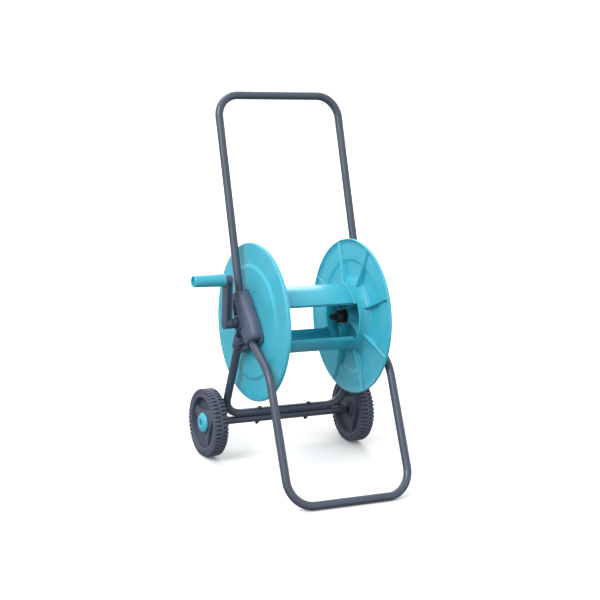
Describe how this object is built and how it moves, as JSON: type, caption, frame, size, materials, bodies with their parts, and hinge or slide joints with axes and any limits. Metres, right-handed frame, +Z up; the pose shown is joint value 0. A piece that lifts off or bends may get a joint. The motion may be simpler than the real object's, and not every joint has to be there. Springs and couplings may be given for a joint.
{
  "type": "hose reel cart",
  "caption": "Garden hose reel cart: bent tube frame with a leaning push handle and front stand, two rear wheels and a crank-wound hose drum.",
  "frame": {"origin": "on the floor, at the centre of the footprint box", "axes": "+X along the reel axis from the crank side to the water side, +Y from the stand to the handle and wheels, +Z up"},
  "size_m": [0.473, 0.5196, 0.7934],
  "materials": {
    "frame_paint": "satin",
    "dark_plastic": "satin moulded",
    "turquoise_plastic": "semi-gloss moulded",
    "wheel_plastic": "matte moulded",
    "black_plastic": "matte moulded",
    "bush_plastic": "dark acetal",
    "steel": "black zinc plated",
    "seal_rubber": "matte"
  },
  "bodies": {
    "cart": {"axle_bolts": "steel", "axle_nuts": "steel", "axle_plug_left": "black_plastic", "axle_plug_right": "black_plastic", "axle_tube": "frame_paint", "axle_washers": "steel", "bearing_bush_left": "bush_plastic", "bearing_bush_right": "bush_plastic", "bracket_cover_left": "dark_plastic", "bracket_cover_right": "dark_plastic", "bracket_screws_left": "steel", "bracket_screws_right": "steel", "handle_tube": "frame_paint", "hub_cap_left": "turquoise_plastic", "hub_cap_right": "turquoise_plastic", "hub_cap_screws": "steel", "rear_frame_tube": "frame_paint", "side_bracket_left": "dark_plastic", "side_bracket_right": "dark_plastic", "stand_tube": "frame_paint", "wheel_star_washers": "steel"},
    "reel": {"flange_left": "turquoise_plastic", "flange_right": "turquoise_plastic", "core_panel_upper": "turquoise_plastic", "core_panel_lower": "turquoise_plastic", "crank_arm": "dark_plastic", "crank_washer": "steel", "crank_screw": "steel", "grip_pin": "steel", "water_spindle": "black_plastic", "spindle_screws": "steel", "spindle_clip": "steel", "spindle_o_rings": "seal_rubber", "tail_nipple": "black_plastic", "tail_nut": "black_plastic", "tail_seal": "seal_rubber", "thrust_washer_left": "bush_plastic", "thrust_washer_right": "bush_plastic"},
    "grip": {"crank_grip": "turquoise_plastic"},
    "wheel_l": {"wheel_left": "wheel_plastic"},
    "wheel_r": {"wheel_right": "wheel_plastic"},
    "inlet": {"inlet_elbow": "black_plastic", "inlet_clip": "steel", "inlet_nipple": "black_plastic"}
  },
  "joints": [
    {"name": "reel_spin", "type": "hinge", "parent": "cart", "child": "reel", "pos_m": [0.0315, 0.03793, 0.324], "axis": [1, 0, 0], "continuous": true},
    {"name": "grip_spin", "type": "hinge", "parent": "reel", "child": "grip", "pos_m": [0.0315, 0.04996, 0.41924], "axis": [1, 0, 0], "continuous": true},
    {"name": "wheel_left_spin", "type": "hinge", "parent": "cart", "child": "wheel_l", "pos_m": [0.0315, 0.09189, 0.076], "axis": [1, 0, 0], "continuous": true},
    {"name": "wheel_right_spin", "type": "hinge", "parent": "cart", "child": "wheel_r", "pos_m": [0.0315, 0.09189, 0.076], "axis": [1, 0, 0], "continuous": true},
    {"name": "inlet_swivel", "type": "hinge", "parent": "cart", "child": "inlet", "pos_m": [0.0315, 0.03793, 0.324], "axis": [1, 0, 0], "continuous": true}
  ]
}
